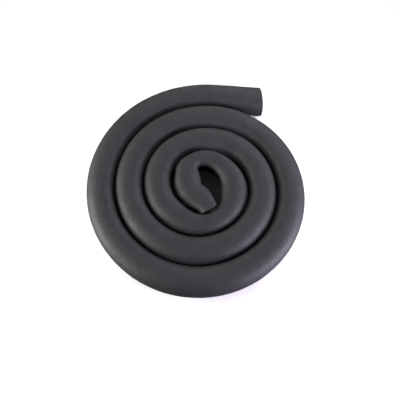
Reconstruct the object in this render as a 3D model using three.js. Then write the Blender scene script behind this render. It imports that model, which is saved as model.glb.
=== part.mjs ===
// Flexible foam lagging for a 22 mm pipe: one stock length of tube, rolled up flat on a level surface.
// Millimetres, +Z up. The origin is under the middle of the roll's box, at the height that it lies on.
// The outer end points along +X, and the roll winds inwards anticlockwise, seen from above.
import * as THREE from 'three';

// The tube as it is sold
const bore = 22;
const wall = 9;
const stockLength = 2000;

// How it is rolled up
const turnGap = 0.3; // between neighbouring turns
const looseEnd = 78; // of the outer end springs back straight
const looseWidth = 44; // at the outer end, where no turn presses on it
const innermostRadius = 46.4; // of the centreline, where the even roll ends

// From there to the inner end: each bend's length and turn, and how wide the squeezed tube is at its end
const innerBends = [
  { length: 64, turn: 72.5, width: 26 },
  { length: 32, turn: 56, width: 21 }, // the crease, folded too tightly to stay round
  { length: 25, turn: 63, width: 34 },
  { length: 16, turn: 9, width: 40 }, // the tail, across the eye
  { length: 23, turn: 45, width: 40 },
  { length: 25, turn: -23, width: 28 },
];

// The tail leans forward, so that its cut end overhangs
const tailLean = THREE.MathUtils.degToRad(16);
const leaningLength = 42;

// Where the tail presses into the roll
const dentDepth = 9.5;
const dentReach = 59; // each way along the tube
const dentToInnerEnd = 239; // along the tube

// How finely it is faceted
const outerSides = 20;
const boreSides = 12;
const turnStep = THREE.MathUtils.degToRad(7.5);
const bendStep = 6; // millimetres
const looseSteps = 4;

const outside = bore + 2 * wall;
const pitch = outside + turnGap;
const baseRadius = pitch / (2 * Math.PI); // of the circle that an even roll unwinds from

// The length of the even roll sets how far out it winds: an involute's length is baseRadius * t * t / 2.
const innerLength = innerBends.reduce((sum, { length }) => sum + length, 0);
const rolledLength = stockLength - looseEnd - innerLength;
const innerTurn = innermostRadius / baseRadius;
const outerTurn = Math.sqrt(innerTurn ** 2 + (2 * rolledLength) / baseRadius);

// A regular polygon with a flat side on top, below and at each side, as the section's circles are cut.
function flatSided(acrossFlats, sides) {
  const corner = acrossFlats / 2 / Math.cos(Math.PI / sides);
  return Array.from({ length: sides }, (_, k) => {
    const angle = ((k + 0.5) * 2 * Math.PI) / sides;
    return new THREE.Vector2(corner * Math.cos(angle), corner * Math.sin(angle));
  });
}

// A place on the centreline: where it is, which way the tube runs inwards, how far along the tube it lies,
// and how wide the tube is there. Its height never changes.
function station(x, y, heading, along, width = outside) {
  return { x, y, heading, along, width };
}

// The even roll keeps the same gap between its turns, because it follows the involute of a circle.
function stationOnRoll(t) {
  const back = t - outerTurn;
  return station(
    baseRadius * (Math.cos(back) + t * Math.sin(back)),
    baseRadius * (t * Math.cos(back) - Math.sin(back)),
    Math.PI - back,
    looseEnd + (baseRadius * (outerTurn ** 2 - t ** 2)) / 2,
  );
}

// Gives the tube another width by moving its wall on the eye's side.
function withWidth({ x, y, heading, along }, width) {
  const shift = (outside - width) / 2;
  return station(x + shift * Math.sin(heading), y - shift * Math.cos(heading), heading, along, width);
}

function widthInDent(along) {
  const away = Math.min(Math.abs(stockLength - dentToInnerEnd - along) / dentReach, 1);
  return outside - (dentDepth * (1 + Math.cos(Math.PI * away))) / 2;
}

function blend(from, to, share) {
  return from + (to - from) * THREE.MathUtils.smoothstep(share, 0, 1);
}

// How far the section's top is ahead of its middle, for each millimetre that it is higher.
function leanAt(along) {
  const leaningFrom = stockLength - leaningLength;
  return Math.tan(tailLean) * THREE.MathUtils.smoothstep(along, leaningFrom, stockLength);
}

// The next station, a given length further on, while the tube turns left by an angle.
function walkOn(from, length, turn, width) {
  const chord = (2 * length * Math.sin(turn / 2)) / turn;
  const direction = from.heading + turn / 2;
  return station(
    from.x + chord * Math.cos(direction),
    from.y + chord * Math.sin(direction),
    from.heading + turn,
    from.along + length,
    width,
  );
}

function centreline() {
  const stations = [];

  const outermost = stationOnRoll(outerTurn);
  for (let k = 0; k < looseSteps; k++) {
    const share = k / looseSteps;
    const x = outermost.x + looseEnd * (1 - share);
    const straight = station(x, outermost.y, outermost.heading, looseEnd * share);
    stations.push(withWidth(straight, blend(looseWidth, outside, share)));
  }

  // Steps are counted from the outer end, so that the corners of neighbouring turns lie side by side.
  const rollSteps = Math.ceil((outerTurn - innerTurn) / turnStep);
  for (let k = 0; k <= rollSteps; k++) {
    const even = stationOnRoll(Math.max(outerTurn - k * turnStep, innerTurn));
    stations.push(withWidth(even, widthInDent(even.along)));
  }

  let widthBefore = outside;
  for (const { length, turn, width } of innerBends) {
    const steps = Math.round(length / bendStep);
    const stepTurn = THREE.MathUtils.degToRad(turn) / steps;
    for (let k = 1; k <= steps; k++) {
      stations.push(walkOn(stations.at(-1), length / steps, stepTurn, blend(widthBefore, width, k / steps)));
    }
    widthBefore = width;
  }
  return stations;
}

// Carries the section along the centreline, level and squeezed to the width at each station. It is square
// to the centreline, except where the tail leans.
class RolledPath extends THREE.Curve {
  constructor(stations) {
    super();
    this.stations = stations;
  }

  getSpacedPoints() {
    return this.stations.map(({ x, y }) => new THREE.Vector3(x, y, outside / 2));
  }

  computeFrenetFrames() {
    const up = new THREE.Vector3(0, 0, 1);
    const tangents = this.stations.map(
      ({ heading }) => new THREE.Vector3(Math.cos(heading), Math.sin(heading), 0),
    );
    const upright = this.stations.map(({ along }, k) =>
      new THREE.Vector3().copy(tangents[k]).multiplyScalar(leanAt(along)).add(up),
    );
    const sideways = this.stations.map(({ width }, k) =>
      new THREE.Vector3().crossVectors(tangents[k], up).multiplyScalar(width / outside),
    );
    return { tangents, normals: upright, binormals: sideways };
  }
}

function foamTube() {
  const section = new THREE.Shape(flatSided(outside, outerSides));
  section.holes.push(new THREE.Path(flatSided(bore, boreSides)));
  const stations = centreline();
  const geometry = new THREE.ExtrudeGeometry(section, {
    steps: stations.length - 1,
    extrudePath: new RolledPath(stations),
  });
  const blackFoam = new THREE.MeshStandardMaterial({ color: 0x414144, roughness: 0.75, metalness: 0 });
  const mesh = new THREE.Mesh(geometry, blackFoam);
  mesh.name = 'foam_tube';

  geometry.computeBoundingBox();
  const middle = geometry.boundingBox.getCenter(new THREE.Vector3());
  mesh.position.set(-middle.x, -middle.y, 0);
  return mesh;
}

const lagging = new THREE.Group();
lagging.add(foamTube());

export default lagging;
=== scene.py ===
import math

import bpy
from mathutils import Matrix, Vector


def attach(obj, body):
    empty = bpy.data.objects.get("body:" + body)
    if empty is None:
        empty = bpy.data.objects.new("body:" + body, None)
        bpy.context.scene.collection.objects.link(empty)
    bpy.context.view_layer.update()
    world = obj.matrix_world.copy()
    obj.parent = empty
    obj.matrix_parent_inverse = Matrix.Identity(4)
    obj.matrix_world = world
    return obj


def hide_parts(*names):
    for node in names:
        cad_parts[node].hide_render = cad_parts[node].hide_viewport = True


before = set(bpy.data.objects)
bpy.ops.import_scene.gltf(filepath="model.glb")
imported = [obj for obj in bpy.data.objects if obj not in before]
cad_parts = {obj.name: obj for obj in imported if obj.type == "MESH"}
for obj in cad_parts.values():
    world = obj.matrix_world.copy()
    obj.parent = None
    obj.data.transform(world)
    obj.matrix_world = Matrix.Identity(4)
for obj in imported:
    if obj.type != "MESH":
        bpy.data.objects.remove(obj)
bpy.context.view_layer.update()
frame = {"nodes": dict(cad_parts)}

# Flexible foam lagging for a 22 mm pipe: one stock length, rolled up flat. Metres, the same frame as its solid.
print("frame loaded:", ", ".join(frame["nodes"]))


# small helpers for node trees

def addNode(tree, kind, inputs=None, **settings):
    node = tree.nodes.new(kind)
    for name, value in settings.items():
        setattr(node, name, value)
    for key, value in (inputs or {}).items():
        socket = node.inputs[key]
        if isinstance(value, bpy.types.NodeSocket):
            tree.links.new(value, socket)
        else:
            socket.default_value = value
    return node


def calc(tree, operation, first, second=0.0):
    return addNode(tree, "ShaderNodeMath", {0: first, 1: second}, operation=operation).outputs[0]


def product(tree, *factors):
    result = factors[0]
    for factor in factors[1:]:
        result = calc(tree, "MULTIPLY", result, factor)
    return result


def clamped(tree, value, least, most):
    return calc(tree, "MAXIMUM", calc(tree, "MINIMUM", value, most), least)


def vectorCalc(tree, operation, first, second):
    key = "Scale" if operation == "SCALE" else 1
    return addNode(tree, "ShaderNodeVectorMath", {0: first, key: second}, operation=operation).outputs[0]


def ramp(tree, value, low, high, toLow=0.0, toHigh=1.0, smooth=False):
    node = addNode(
        tree, "ShaderNodeMapRange", {0: value, 1: low, 2: high, 3: toLow, 4: toHigh},
        interpolation_type="SMOOTHSTEP" if smooth else "LINEAR", clamp=True,
    )
    return node.outputs[0]


# the tube, where it lies

tubeSizes = {
    "bore": 0.022,
    "wall": 0.009,
    "length": 2.0,  # as it is sold
    "turnGap": 0.0003,
    "looseEnd": 0.078,  # springs back straight
    "looseWidth": 0.044,
    "innermostRadius": 0.0464,  # where the even roll ends
    # from there to the inner end: each bend's length, its turn in degrees, the squeezed width at its end
    "bends": [
        (0.064, 72.5, 0.026),
        (0.032, 56, 0.021),  # the crease
        (0.025, 63, 0.034),
        (0.016, 9, 0.040),  # the tail, across the eye
        (0.023, 45, 0.040),
        (0.025, -23, 0.028),
    ],
    "dentDepth": 0.0095,  # where the tail presses into the roll
    "dentReach": 0.059,
    "dentToInnerEnd": 0.239,
}

# what its section does beyond that
sectionShape = {
    "rimRadius": 0.0007,  # of the cut edges
    "boreRimRadius": 0.0005,
    "obliqueCut": 0.135,  # the outer end wasn't cut quite square
    "obliqueLength": 0.02,
    "tailLean": math.radians(25),  # the tail's cut end overhangs
    "leaningLength": 0.042,
    "leanPivot": 0.0024,  # it leans about a line this far above its middle
    "rise": 0.03,  # a squeezed tube stands this much of what it lost in width taller
    "thinning": 0.55,  # and its wall loses this much of its thickness, for the same share of the width
    "fullness": 2.3,  # the exponent of the section's outline, a little flat-sided from the turns' pressing
    "tailFullness": 2.9,
    "boxiness": 1.1,  # how much flatter-sided it gets the more it is squeezed
    "flattened": 0.01,  # the share cut off it where it lies on the floor and on the next turn
    # the crease's bulge: how far from the inner end it begins or ends, and over what length it grows or fades
    "bulgeStart": (0.172, 0.042),
    "bulgeEnd": (0.028, 0.034),
}

fineness = {
    "around": 96,
    "looseStep": 0.0026,
    "turnStep": math.radians(2.2),
    "bendStep": 0.0012,
    "boreEvery": 3,  # rows of the skin for one row of the bore, which nobody sees
    "rimRows": 5,
    "cutRows": 7,
}

outside = tubeSizes["bore"] + 2 * tubeSizes["wall"]
baseRadius = (outside + tubeSizes["turnGap"]) / (2 * math.pi)  # of the circle that an even roll unwinds from


def smoothStep(share):
    share = min(max(share, 0.0), 1.0)
    return share * share * (3 - 2 * share)


def blend(first, last, share):
    return first + (last - first) * share


def dentAt(along):
    away = abs(tubeSizes["length"] - tubeSizes["dentToInnerEnd"] - along) / tubeSizes["dentReach"]
    return tubeSizes["dentDepth"] * (1 + math.cos(math.pi * min(away, 1))) / 2


def squeezed(x, y, heading, along, width):
    # the wall on the eye's side moves, the other stays where it is
    shift = (outside - width) / 2
    return {
        "x": x + shift * math.sin(heading), "y": y - shift * math.cos(heading),
        "heading": heading, "along": along, "width": width,
    }


def looseStations(outerTurn):
    steps = round(tubeSizes["looseEnd"] / fineness["looseStep"])
    stations = []
    for k in range(steps):
        share = k / steps
        x = baseRadius + tubeSizes["looseEnd"] * (1 - share)
        width = blend(tubeSizes["looseWidth"], outside, smoothStep(share))
        stations.append(squeezed(x, baseRadius * outerTurn, math.pi, tubeSizes["looseEnd"] * share, width))
    return stations


def rollStations(outerTurn, innerTurn):
    # an involute of a circle keeps the same gap between its turns
    steps = math.ceil((outerTurn - innerTurn) / fineness["turnStep"])
    stations = []
    for k in range(steps + 1):
        t = outerTurn - (outerTurn - innerTurn) * k / steps
        back = t - outerTurn
        along = tubeSizes["looseEnd"] + baseRadius * (outerTurn**2 - t * t) / 2
        stations.append(squeezed(
            baseRadius * (math.cos(back) + t * math.sin(back)),
            baseRadius * (t * math.cos(back) - math.sin(back)),
            math.pi - back, along, outside - dentAt(along),
        ))
    return stations


def bendStations(last):
    stations = []
    widthBefore = outside
    for length, turn, width in tubeSizes["bends"]:
        steps = round(length / fineness["bendStep"])
        stepLength, stepTurn = length / steps, math.radians(turn) / steps
        chord = 2 * stepLength / stepTurn * math.sin(stepTurn / 2)
        for k in range(1, steps + 1):
            direction = last["heading"] + stepTurn / 2
            along = last["along"] + stepLength
            last = {
                "x": last["x"] + chord * math.cos(direction), "y": last["y"] + chord * math.sin(direction),
                "heading": last["heading"] + stepTurn, "along": along,
                "width": blend(widthBefore, width, smoothStep(k / steps)) - dentAt(along),
            }
            stations.append(last)
        widthBefore = width
    return stations


def tubeStations():
    innerLength = sum(length for length, _, _ in tubeSizes["bends"])
    rolledLength = tubeSizes["length"] - tubeSizes["looseEnd"] - innerLength
    innerTurn = tubeSizes["innermostRadius"] / baseRadius
    outerTurn = math.sqrt(innerTurn**2 + 2 * rolledLength / baseRadius)
    stations = looseStations(outerTurn) + rollStations(outerTurn, innerTurn)
    stations += bendStations(stations[-1])

    # the middle of the roll's box is the origin
    outlines = {"x": [], "y": []}
    for station in stations:
        for side in (-0.5, 0.5):
            outlines["x"].append(station["x"] + side * station["width"] * math.sin(station["heading"]))
            outlines["y"].append(station["y"] - side * station["width"] * math.cos(station["heading"]))
    for axis in ("x", "y"):
        middle = (min(outlines[axis]) + max(outlines[axis])) / 2
        for station in stations:
            station[axis] -= middle
    return stations


# what a row of the sweep is covered with; a face's own number is the mean of its corners'
skinRegion, cutRegion, boreRegion = 0.0, 1.0, 2.0


def sweepRow(station, share, slide=0.0, inset=0.0, region=skinRegion):
    # an oval at a station, from share 0, the bore's wall, to 1, the skin
    heading, width, along = station["heading"], station["width"], station["along"]
    squeeze = max(1 - width / outside, 0.0)
    tall = outside * (1 + sectionShape["rise"] * squeeze)
    boreWide = width / 2 - tubeSizes["wall"] * (1 - sectionShape["thinning"] * squeeze)
    boreTall = tall / 2 - tubeSizes["wall"]

    toEnd = tubeSizes["length"] - along
    leaning = smoothStep(1 - toEnd / sectionShape["leaningLength"])
    overhang = math.tan(sectionShape["tailLean"]) * leaning
    onward = slide - sectionShape["leanPivot"] * overhang
    fullness = blend(sectionShape["fullness"], sectionShape["tailFullness"], leaning)
    (starts, growing), (ends, fading) = sectionShape["bulgeStart"], sectionShape["bulgeEnd"]
    bulge = smoothStep((starts - toEnd) / growing) * smoothStep((toEnd - ends) / fading)
    return {
        "centre": (
            station["x"] + onward * math.cos(heading),
            station["y"] + onward * math.sin(heading),
            tall / 2,
        ),
        "sideways": (math.sin(heading), -math.cos(heading), 0.0),
        "oblique": sectionShape["obliqueCut"] * max(1 - along / sectionShape["obliqueLength"], 0),
        "bulge": bulge if share == 1 else 0.0,
        "overhang": overhang,
        "power": 2 / (fullness + sectionShape["boxiness"] * (1 - width / outside)),
        "halfWide": blend(boreWide, width / 2, share) - inset,
        "halfTall": blend(boreTall, tall / 2, share) - inset,
        "along": along + slide,
        "squeeze": squeeze,
        "region": region,
        "flat": sectionShape["flattened"] if share == 1 and inset == 0 else 0.0,
    }


def sweepRows(stations):
    rim, boreRim = sectionShape["rimRadius"], sectionShape["boreRimRadius"]
    rimRows, cutRows = fineness["rimRows"], fineness["cutRows"]
    first, last = stations[0], stations[-1]
    shareAtRim = 1 - rim / tubeSizes["wall"]
    shareAtBoreRim = boreRim / tubeSizes["wall"]

    def corner(station, share, radius, into, towardsWall):
        # a quarter round between a wall and the cut face: into is +1 at the outer end, -1 at the inner end
        rows = []
        for k in range(rimRows + 1):
            angle = math.pi / 2 * k / rimRows
            slide = into * radius * (1 - math.sin(angle))
            inset = radius * (1 - math.cos(angle)) * (1 if share == 1 else -1)
            # at the outer end, the half of the rounded rim next to the face is cut foam, whose lighter patches
            # paint a highlight along the rim
            cutRimHighlight = into > 0 and k > rimRows / 2
            region = boreRegion if share == 0 else cutRegion if cutRimHighlight else skinRegion
            rows.append(sweepRow(station, share, slide, inset, region))
        return rows[::-1] if towardsWall else rows

    def cutFace(station):
        # from just inside the skin's rim to just outside the bore's
        rows = []
        for k in range(cutRows + 1):
            share = blend(shareAtRim, shareAtBoreRim, (k + 0.5) / (cutRows + 1))
            rows.append(sweepRow(station, share, region=cutRegion))
        return rows

    skin = [sweepRow(station, 1) for station in stations
            if first["along"] + rim < station["along"] < last["along"] - rim]
    bore = [sweepRow(station, 0, region=boreRegion) for station in stations[::fineness["boreEvery"]]
            if first["along"] + boreRim < station["along"] < last["along"] - boreRim]
    rows = corner(first, 1, rim, 1, True) + skin + corner(last, 1, rim, -1, False)
    rows += cutFace(last) + corner(last, 0, boreRim, -1, True)
    rows += bore[::-1]
    rows += corner(first, 0, boreRim, 1, False) + cutFace(first)[::-1]
    return rows


def pathMesh(rows):
    mesh = bpy.data.meshes.new("laggingPath")
    mesh.from_pydata([row["centre"] for row in rows], [], [])
    sideways = mesh.attributes.new("sideways", "FLOAT_VECTOR", "POINT")
    sideways.data.foreach_set("vector", [c for row in rows for c in row["sideways"]])
    for name in ("oblique", "bulge", "overhang", "power", "halfWide", "halfTall",
                 "along", "squeeze", "region", "flat"):
        values = mesh.attributes.new(name, "FLOAT", "POINT")
        values.data.foreach_set("value", [row[name] for row in rows])
    return mesh


# materials

def materialTree(name):
    material = bpy.data.materials.new(name)
    material.use_nodes = True
    tree = material.node_tree
    tree.nodes.clear()
    shader = addNode(tree, "ShaderNodeBsdfPrincipled")
    output = addNode(tree, "ShaderNodeOutputMaterial")
    tree.links.new(shader.outputs[0], output.inputs["Surface"])
    return material, tree, shader


grainLook = {
    "patches": (0.3, 0.7),  # the part of the noise that is used, for the speckle too
    "hollows": (0.05, 0.75),  # of a bubble's size, from its middle
    "patchShare": 0.55,  # of the tone, and the rest is speckle
    "speckleScale": 0.45,  # of the bubbles' scale
}


def foamGrainGroup():
    # what every surface of the foam shares: uneven blackness, and little hollows where its bubbles lie
    group = bpy.data.node_groups.new("foamGrain", "ShaderNodeTree")
    for name, kind in (
        ("Place", "NodeSocketVector"), ("Bubble size", "NodeSocketFloat"), ("Patch size", "NodeSocketFloat"),
        ("Darkest", "NodeSocketColor"), ("Lightest", "NodeSocketColor"),
    ):
        group.interface.new_socket(name, in_out="INPUT", socket_type=kind)
    for name, kind in (
        ("Color", "NodeSocketColor"), ("Patches", "NodeSocketFloat"), ("Hollows", "NodeSocketFloat"),
    ):
        group.interface.new_socket(name, in_out="OUTPUT", socket_type=kind)
    given = addNode(group, "NodeGroupInput").outputs
    result = addNode(group, "NodeGroupOutput")

    patches = addNode(group, "ShaderNodeTexNoise", {
        "Vector": given["Place"], "Scale": calc(group, "DIVIDE", 1.0, given["Patch size"]),
        "Detail": 5.0, "Roughness": 0.6,
    }).outputs[0]
    bubbleScale = calc(group, "DIVIDE", 1.0, given["Bubble size"])
    bubbles = addNode(group, "ShaderNodeTexVoronoi", {
        "Vector": given["Place"], "Scale": bubbleScale, "Randomness": 1.0,
    }, feature="SMOOTH_F1").outputs["Distance"]
    speckle = addNode(group, "ShaderNodeTexNoise", {
        "Vector": given["Place"], "Scale": product(group, bubbleScale, grainLook["speckleScale"]), "Detail": 3.0,
    }).outputs[0]
    tone = calc(
        group, "ADD",
        product(group, ramp(group, patches, *grainLook["patches"]), grainLook["patchShare"]),
        product(group, ramp(group, speckle, *grainLook["patches"]), 1 - grainLook["patchShare"]),
    )
    color = addNode(group, "ShaderNodeMix", {
        0: tone, 6: given["Darkest"], 7: given["Lightest"],
    }, data_type="RGBA").outputs[2]
    group.links.new(color, result.inputs["Color"])
    group.links.new(tone, result.inputs["Patches"])
    group.links.new(ramp(group, bubbles, *grainLook["hollows"], smooth=True), result.inputs["Hollows"])
    return group


foamGrain = foamGrainGroup()


def grainIn(tree, place, look):
    return addNode(tree, "ShaderNodeGroup", {
        "Place": place, "Bubble size": look["bubbleSize"], "Patch size": look["patchSize"],
        "Darkest": look["darkest"], "Lightest": look["lightest"],
    }, node_tree=foamGrain).outputs


def finishFoam(tree, shader, look, color, patches, height):
    # the lighter patches are the smoother ones
    smoothest, roughest = look["roughness"]
    bump = addNode(tree, "ShaderNodeBump", {
        "Height": height, "Strength": look["bumpStrength"], "Distance": look["bumpDepth"],
    })
    tree.links.new(color, shader.inputs["Base Color"])
    tree.links.new(ramp(tree, patches, 0, 1, roughest, smoothest), shader.inputs["Roughness"])
    tree.links.new(bump.outputs[0], shader.inputs["Normal"])
    shader.inputs["Specular IOR Level"].default_value = look["shine"]


skinLook = {
    "darkest": (0.0130, 0.0126, 0.0149, 1),
    "lightest": (0.0235, 0.0229, 0.0262, 1),
    "bubbleSize": 0.0009,
    "patchSize": 0.018,
    "roughness": (0.56, 0.74),
    "shine": 0.33,
    "bumpStrength": 0.50,
    "bumpDepth": 0.0008,
    # how much of the bump's height each of them has
    "dimples": 0.22,
    "lines": 0.10,
    "unevenness": 0.9,
    "linesScale": (12.0, 900.0, 1.0),  # along the tube and around it
    "unevenScale": 380.0,
}


def skinMaterial():
    material, tree, shader = materialTree("blackFoamSkin")
    place = addNode(tree, "ShaderNodeTexCoord").outputs["Object"]
    grain = grainIn(tree, place, skinLook)

    # faint drawn lines along the tube, from the die
    unrolled = addNode(tree, "ShaderNodeUVMap", uv_map="UVMap").outputs[0]
    stretched = addNode(tree, "ShaderNodeMapping", {
        "Vector": unrolled, "Scale": skinLook["linesScale"],
    }).outputs[0]
    lines = addNode(tree, "ShaderNodeTexNoise", {
        "Vector": stretched, "Scale": 1.0, "Detail": 2.0,
    }, noise_dimensions="2D").outputs[0]
    # soft unevenness a few millimetres across
    uneven = addNode(tree, "ShaderNodeTexNoise", {
        "Vector": place, "Scale": skinLook["unevenScale"], "Detail": 2.0,
    }).outputs[0]

    height = calc(tree, "ADD", product(tree, grain["Hollows"], skinLook["dimples"]),
                  product(tree, lines, skinLook["lines"]))
    height = calc(tree, "ADD", height, product(tree, uneven, skinLook["unevenness"]))
    finishFoam(tree, shader, skinLook, grain["Color"], grain["Patches"], height)
    return material


cutLook = {
    "darkest": (0.010, 0.010, 0.011, 1),
    "lightest": (0.034, 0.034, 0.037, 1),
    "paintedPoreShade": (0.012, 0.012, 0.013, 1),
    "poreShadeFade": (0.15, 0.6, 0.35, 1.0),  # from where to where in a pore its painted shade fades, and from what to what
    "bubbleSize": 0.0007,
    "patchSize": 0.006,
    "roughness": (0.8, 0.95),
    "shine": 0.3,
    "bumpStrength": 0.8,
    "bumpDepth": 0.0005,
}


def cutMaterial():
    # the cut ends: open bubbles, no skin
    material, tree, shader = materialTree("cutFoam")
    grain = grainIn(tree, addNode(tree, "ShaderNodeTexCoord").outputs["Object"], cutLook)
    # darker towards the middle of each pore: painted shade in the open bubbles' hollows
    color = addNode(tree, "ShaderNodeMix", {
        0: ramp(tree, grain["Hollows"], *cutLook["poreShadeFade"]), 6: cutLook["paintedPoreShade"], 7: grain["Color"],
    }, data_type="RGBA").outputs[2]
    finishFoam(tree, shader, cutLook, color, grain["Patches"], grain["Hollows"])
    return material


boreLook = {
    "darkest": (0.030, 0.030, 0.032, 1),
    "lightest": (0.058, 0.058, 0.060, 1),
    "bubbleSize": 0.0012,
    "patchSize": 0.010,
    "roughness": (0.62, 0.78),
    "shine": 0.4,
    "bumpStrength": 0.3,
    "bumpDepth": 0.0003,
}


def boreMaterial():
    # the bore's own skin, smoother than the outer one and dusted with talc
    material, tree, shader = materialTree("boreSkin")
    grain = grainIn(tree, addNode(tree, "ShaderNodeTexCoord").outputs["Object"], boreLook)
    finishFoam(tree, shader, boreLook, grain["Color"], grain["Patches"], grain["Hollows"])
    return material


blackFoamSkin, cutFoam, boreSkin = skinMaterial(), cutMaterial(), boreMaterial()
print("materials: skin, cut ends, bore")


# the tube's surface, swept along its path by geometry nodes

surfaceLook = {
    "Sides": fineness["around"],
    "Slack": 0.0007,  # from where the skin bulges to where it sinks
    "Slack size": 0.055,
    "Wrinkle depth": 0.0003,  # on the eye's side of the crease
    "Wrinkle spacing": 0.0066,
    "Crease bulge": 0.0034,
    "Seed": 4,
}

# from where each begins to where it is full
surfaceRanges = {
    "bulgeUp": (0.0, 0.7),  # of the way from the middle to the top
    "bulgeEyeSide": (0.4, -0.7),  # across the tube: -1 is the eye's side, 1 the other
    "wrinkleEyeSide": (0.25, -0.75),
    "besideTurns": (0.70, 0.95),
    "offFloor": (0.001, 0.012),
    "sagNoise": (0.3, 0.7),
    "sagDepth": (-0.4, 0.6),
    "folded": (0.24, 0.46),  # of the width squeezed away
}
wrinkleWaver = 0.9  # of their spacing


def fromMesh(tree, name, kind="FLOAT"):
    return addNode(tree, "GeometryNodeInputNamedAttribute", {"Name": name}, data_type=kind).outputs[0]


def sweptShell(tree, given):
    # a grid with a strip of faces from each row of the path to the next, and from the last to the first
    rowCount = addNode(tree, "GeometryNodeAttributeDomainSize", {0: given["Path"]}, component="MESH").outputs[0]
    perRow = calc(tree, "ADD", given["Sides"], 1.0)
    grid = addNode(tree, "GeometryNodeMeshGrid", {
        "Vertices X": calc(tree, "ADD", rowCount, 1.0), "Vertices Y": perRow,
    }).outputs[0]
    index = addNode(tree, "GeometryNodeInputIndex").outputs[0]
    row = calc(tree, "FLOOR", calc(tree, "DIVIDE", calc(tree, "ADD", index, 0.5), perRow))
    column = calc(tree, "SUBTRACT", index, product(tree, row, perRow))
    angle = product(tree, calc(tree, "DIVIDE", column, given["Sides"]), 2 * math.pi)
    onPath = calc(tree, "MODULO", row, rowCount)

    def sampled(value, kind):
        node = addNode(tree, "GeometryNodeSampleIndex", {"Geometry": given["Path"]},
                       data_type=kind, domain="POINT")
        tree.links.new(value, node.inputs["Value"])
        tree.links.new(onPath, node.inputs["Index"])
        return node.outputs[0]

    def fromPath(name, kind="FLOAT"):
        return sampled(fromMesh(tree, name, kind), kind)

    centre = sampled(addNode(tree, "GeometryNodeInputPosition").outputs[0], "FLOAT_VECTOR")
    sideways = fromPath("sideways", "FLOAT_VECTOR")

    # an oval, a little flat below and at both sides, where it lies on the floor and on the next turn
    larger = calc(tree, "ADD", fromPath("flat"), 1.0)
    power = fromPath("power")
    cosine, sine = (
        product(tree, calc(tree, "SIGN", turn), calc(tree, "POWER", calc(tree, "ABSOLUTE", turn), power))
        for turn in (calc(tree, "COSINE", angle), calc(tree, "SINE", angle))
    )
    across = clamped(tree, product(tree, cosine, larger), -1.0, 1.0)
    upright = clamped(tree, product(tree, sine, larger), -1.0, sine)
    # at the crease the skin bulges over the eye, in its upper half
    bulging = product(
        tree, ramp(tree, sine, *surfaceRanges["bulgeUp"], smooth=True),
        ramp(tree, cosine, *surfaceRanges["bulgeEyeSide"], smooth=True),
        fromPath("bulge"), given["Crease bulge"],
    )
    offAcross = calc(tree, "SUBTRACT", product(tree, across, fromPath("halfWide")), bulging)
    offUp = product(tree, upright, fromPath("halfTall"))
    spot = vectorCalc(tree, "ADD", centre, vectorCalc(tree, "SCALE", sideways, offAcross))
    spot = vectorCalc(tree, "ADD", spot, addNode(tree, "ShaderNodeCombineXYZ", {"Z": offUp}).outputs[0])
    # the oblique cut and the tail's lean: along the tube, more on one side than on the other
    onward = vectorCalc(tree, "CROSS_PRODUCT", (0.0, 0.0, 1.0), sideways)
    leaning = calc(tree, "ADD", product(tree, offAcross, fromPath("oblique")),
                   product(tree, offUp, fromPath("overhang")))
    spot = vectorCalc(tree, "ADD", spot, vectorCalc(tree, "SCALE", onward, leaning))
    shell = addNode(tree, "GeometryNodeSetPosition", {"Geometry": grid, "Position": spot}).outputs[0]

    # what the materials and the wrinkles read
    for name, value in (("along", fromPath("along")), ("around", angle),
                        ("squeeze", fromPath("squeeze")), ("region", fromPath("region"))):
        shell = addNode(tree, "GeometryNodeStoreNamedAttribute", {
            "Geometry": shell, "Name": name, "Value": value,
        }, data_type="FLOAT", domain="POINT").outputs[0]
    unrolled = addNode(tree, "ShaderNodeCombineXYZ", {
        "X": fromMesh(tree, "along"), "Y": product(tree, fromMesh(tree, "around"), outside / 2),
    }).outputs[0]
    shell = addNode(tree, "GeometryNodeStoreNamedAttribute", {
        "Geometry": shell, "Name": "UVMap", "Value": unrolled,
    }, data_type="FLOAT2", domain="CORNER").outputs[0]
    return addNode(tree, "GeometryNodeMergeByDistance", {"Geometry": shell, "Distance": 0.000002}).outputs[0]


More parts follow.
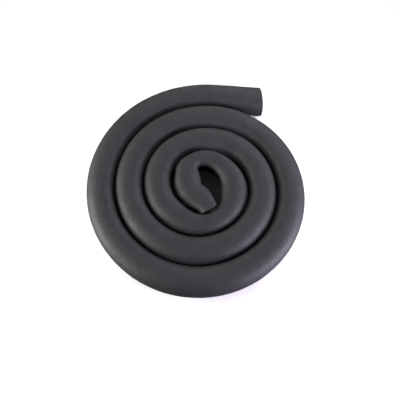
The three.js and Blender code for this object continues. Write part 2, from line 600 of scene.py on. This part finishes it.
def wornShell(tree, given, shell):
    # the skin sinks and bulges a little here and there, but not where it lies on the floor or on the next turn
    position = addNode(tree, "GeometryNodeInputPosition").outputs[0]
    cosine = calc(tree, "COSINE", fromMesh(tree, "around"))
    sag = addNode(tree, "ShaderNodeTexNoise", {
        "Vector": position, "W": given["Seed"], "Scale": calc(tree, "DIVIDE", 1.0, given["Slack size"]),
        "Detail": 1.5,
    }, noise_dimensions="4D").outputs[0]
    clearOfTurns = ramp(tree, calc(tree, "ABSOLUTE", cosine), *surfaceRanges["besideTurns"], 1.0, 0.0, smooth=True)
    sinking = product(
        tree, ramp(tree, sag, *surfaceRanges["sagNoise"], *surfaceRanges["sagDepth"]),
        given["Slack"], clearOfTurns,
    )

    # and it wrinkles where the squeezed tube is folded, most on the eye's side
    eyeSide = ramp(tree, cosine, *surfaceRanges["wrinkleEyeSide"], smooth=True)
    folded = ramp(tree, fromMesh(tree, "squeeze"), *surfaceRanges["folded"], smooth=True)
    waver = addNode(tree, "ShaderNodeTexNoise", {
        "Vector": position, "W": given["Seed"], "Scale": 90.0, "Detail": 1.0,
    }, noise_dimensions="4D").outputs[0]
    phase = calc(tree, "ADD", calc(tree, "DIVIDE", fromMesh(tree, "along"), given["Wrinkle spacing"]),
                 product(tree, waver, wrinkleWaver))
    wave = calc(tree, "SINE", product(tree, phase, 2 * math.pi))
    wave = calc(tree, "ADD", product(tree, wave, 0.5), 0.5)  # from 0 to 1
    pinch = product(tree, eyeSide, folded, wave, given["Wrinkle depth"])

    height = addNode(tree, "ShaderNodeSeparateXYZ", {0: position}).outputs["Z"]
    offFloor = ramp(tree, height, *surfaceRanges["offFloor"], smooth=True)
    onSkin = calc(tree, "LESS_THAN", fromMesh(tree, "region"), (skinRegion + cutRegion) / 2)
    inwards = product(tree, calc(tree, "ADD", sinking, pinch), -1.0, offFloor, onSkin)
    normal = addNode(tree, "GeometryNodeInputNormal").outputs[0]
    return addNode(tree, "GeometryNodeSetPosition", {
        "Geometry": shell, "Offset": vectorCalc(tree, "SCALE", normal, inwards),
    }).outputs[0]


def coveredShell(tree, given, shell):
    shell = addNode(tree, "GeometryNodeSetShadeSmooth", {"Geometry": shell}).outputs[0]
    shell = addNode(tree, "GeometryNodeRealizeInstances", {"Geometry": shell}).outputs[0]
    shell = addNode(tree, "GeometryNodeSetMaterial", {"Geometry": shell, "Material": given["Skin"]}).outputs[0]
    for name, least in (("Cut", 0.2), ("Bore", 1.6)):  # a face's number for its region
        chosen = calc(tree, "GREATER_THAN", fromMesh(tree, "region"), least)
        shell = addNode(tree, "GeometryNodeSetMaterial", {
            "Geometry": shell, "Selection": chosen, "Material": given[name],
        }).outputs[0]
    return shell


def tubeTree():
    tree = bpy.data.node_groups.new("laggingTube", "GeometryNodeTree")
    tree.is_modifier = True
    for name, kind in (
        ("Path", "NodeSocketGeometry"), ("Sides", "NodeSocketInt"),
        ("Slack", "NodeSocketFloat"), ("Slack size", "NodeSocketFloat"),
        ("Wrinkle depth", "NodeSocketFloat"), ("Wrinkle spacing", "NodeSocketFloat"),
        ("Crease bulge", "NodeSocketFloat"), ("Seed", "NodeSocketInt"),
        ("Skin", "NodeSocketMaterial"), ("Cut", "NodeSocketMaterial"), ("Bore", "NodeSocketMaterial"),
    ):
        tree.interface.new_socket(name, in_out="INPUT", socket_type=kind)
    tree.interface.new_socket("Tube", in_out="OUTPUT", socket_type="NodeSocketGeometry")
    given = addNode(tree, "NodeGroupInput").outputs
    result = addNode(tree, "NodeGroupOutput")
    shell = wornShell(tree, given, sweptShell(tree, given))
    tree.links.new(coveredShell(tree, given, shell), result.inputs[0])
    return tree


def setInput(modifier, name, value):
    # a modifier's input is known by its identifier, not by its name
    for item in modifier.node_group.interface.items_tree:
        if item.item_type == "SOCKET" and item.in_out == "INPUT" and item.name == name:
            modifier[item.identifier] = value


def makeLagging():
    rows = sweepRows(tubeStations())
    path = bpy.data.objects.new("laggingPath", pathMesh(rows))
    bpy.context.scene.collection.objects.link(path)
    modifier = path.modifiers.new("sweep", "NODES")
    modifier.node_group = tubeTree()
    for name, value in surfaceLook.items():
        setInput(modifier, name, value)
    for name, value in (("Skin", blackFoamSkin), ("Cut", cutFoam), ("Bore", boreSkin)):
        setInput(modifier, name, value)
    bpy.context.view_layer.update()
    evaluated = path.evaluated_get(bpy.context.evaluated_depsgraph_get())
    mesh = bpy.data.meshes.new_from_object(evaluated)
    bpy.data.objects.remove(path)
    for name in ("along", "around", "squeeze", "region"):
        if name in mesh.attributes:
            mesh.attributes.remove(mesh.attributes[name])
    mesh.name = "laggingTube"
    lagging = bpy.data.objects.new("laggingTube", mesh)
    bpy.context.scene.collection.objects.link(lagging)
    triangles = sum(len(face.vertices) - 2 for face in mesh.polygons)
    print(f"tube: {len(rows)} rows, {triangles} triangles")
    return lagging


lagging = makeLagging()
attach(lagging, "root")
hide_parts("foam_tube")


# floor, light and camera

floorLook = {
    "radius": 0.52,
    "sides": 96,
    # it throws back less light than it shows, as a floor that stops short of the lamps does
    "seen": 0.86,
    "bounced": 0.10,
    "roughness": 0.9,
    "shine": 0.1,
}


def makeFloor():
    # a disc, so that it looks the same from all sides
    corners = []
    for k in range(floorLook["sides"]):
        angle = k * 2 * math.pi / floorLook["sides"]
        corners.append((floorLook["radius"] * math.cos(angle), floorLook["radius"] * math.sin(angle), 0))
    mesh = bpy.data.meshes.new("paleFloor")
    mesh.from_pydata(corners, [], [tuple(range(floorLook["sides"]))])
    floor = bpy.data.objects.new("paleFloor", mesh)
    bpy.context.scene.collection.objects.link(floor)
    material, tree, shader = materialTree("paleFloor")
    seen = addNode(tree, "ShaderNodeLightPath").outputs["Is Camera Ray"]
    tone = ramp(tree, seen, 0.0, 1.0, floorLook["bounced"], floorLook["seen"])
    tree.links.new(tone, shader.inputs["Base Color"])
    shader.inputs["Roughness"].default_value = floorLook["roughness"]
    shader.inputs["Specular IOR Level"].default_value = floorLook["shine"]
    mesh.materials.append(material)
    return floor


makeFloor()

softboxes = {
    # azimuth and elevation in degrees, distance, width and height, watts, colour; none is in front,
    # and none stands so high that it shines to the bottom of the eye
    "right": (6, 27, 0.70, (0.45, 0.45), 1.2, (0.97, 0.95, 1.0)),
    "rightLow": (334, 15, 0.60, (0.25, 0.20), 7.6, (0.90, 0.84, 1.0)),
    "left": (174, 29, 0.75, (0.50, 0.50), 3.8, (1.0, 1.0, 0.97)),
    "leftLow": (199, 15, 0.65, (0.30, 0.20), 7.2, (1.0, 1.0, 0.97)),
    "back": (90, 27, 0.70, (0.60, 0.32), 2.1, (1.0, 0.99, 1.0)),
    "backRight": (46, 31, 0.75, (0.45, 0.30), 3.2, (0.98, 0.97, 1.0)),
}


def makeSoftbox(name, azimuth, elevation, distance, size, watts, color):
    lamp = bpy.data.lights.new(name, "AREA")
    lamp.shape = "RECTANGLE"
    lamp.size, lamp.size_y = size
    lamp.energy = watts
    lamp.color = color
    level = distance * math.cos(math.radians(elevation))
    place = Vector((
        level * math.cos(math.radians(azimuth)),
        level * math.sin(math.radians(azimuth)),
        distance * math.sin(math.radians(elevation)),
    ))
    holder = bpy.data.objects.new(name, lamp)
    holder.matrix_world = Matrix.Translation(place) @ (-place).to_track_quat("-Z", "Y").to_matrix().to_4x4()
    bpy.context.scene.collection.objects.link(holder)


studioGlow = 0.02  # next to no light comes from around, so that the folds stay dark


def makeWorld():
    # white where it is seen
    world = bpy.data.worlds.new("studio")
    world.use_nodes = True
    tree = world.node_tree
    seen = addNode(tree, "ShaderNodeLightPath").outputs["Is Camera Ray"]
    background = tree.nodes["Background"]
    background.inputs["Color"].default_value = (1, 1, 1, 1)
    tree.links.new(calc(tree, "MAXIMUM", seen, studioGlow), background.inputs["Strength"])
    bpy.context.scene.world = world


for name, settings in softboxes.items():
    makeSoftbox(name, *settings)
makeWorld()
bpy.context.scene.view_settings.view_transform = "Standard"

photoCamera = {
    "azimuth": math.radians(0.84),
    "elevation": math.radians(68.28),
    "distance": 0.520,
    "roll": math.radians(2.37),
    "aim": (0.00739, -0.03038, 0.020),
    "focalPixels": 364.2,
    "framePixels": 400,
    "sensor": 36.0,
    "nearest": 0.01,
}


def makeCamera():
    azimuth, elevation, roll = photoCamera["azimuth"], photoCamera["elevation"], photoCamera["roll"]
    forward = Vector((
        -math.sin(azimuth) * math.cos(elevation), math.cos(azimuth) * math.cos(elevation), -math.sin(elevation),
    ))
    level = Vector((math.cos(azimuth), math.sin(azimuth), 0))
    above = level.cross(forward)
    right = math.cos(roll) * level + math.sin(roll) * above
    up = -math.sin(roll) * level + math.cos(roll) * above
    eye = Vector(photoCamera["aim"]) - photoCamera["distance"] * forward
    lens = bpy.data.cameras.new("photoCamera")
    lens.sensor_width = photoCamera["sensor"]
    lens.lens = photoCamera["sensor"] * photoCamera["focalPixels"] / photoCamera["framePixels"]
    lens.clip_start = photoCamera["nearest"]
    camera = bpy.data.objects.new("photoCamera", lens)
    axes = Matrix((right, up, -forward)).transposed().to_4x4()
    camera.matrix_world = Matrix.Translation(eye) @ axes
    bpy.context.scene.collection.objects.link(camera)
    bpy.context.scene.camera = camera


makeCamera()
print("floor, softboxes and camera placed")
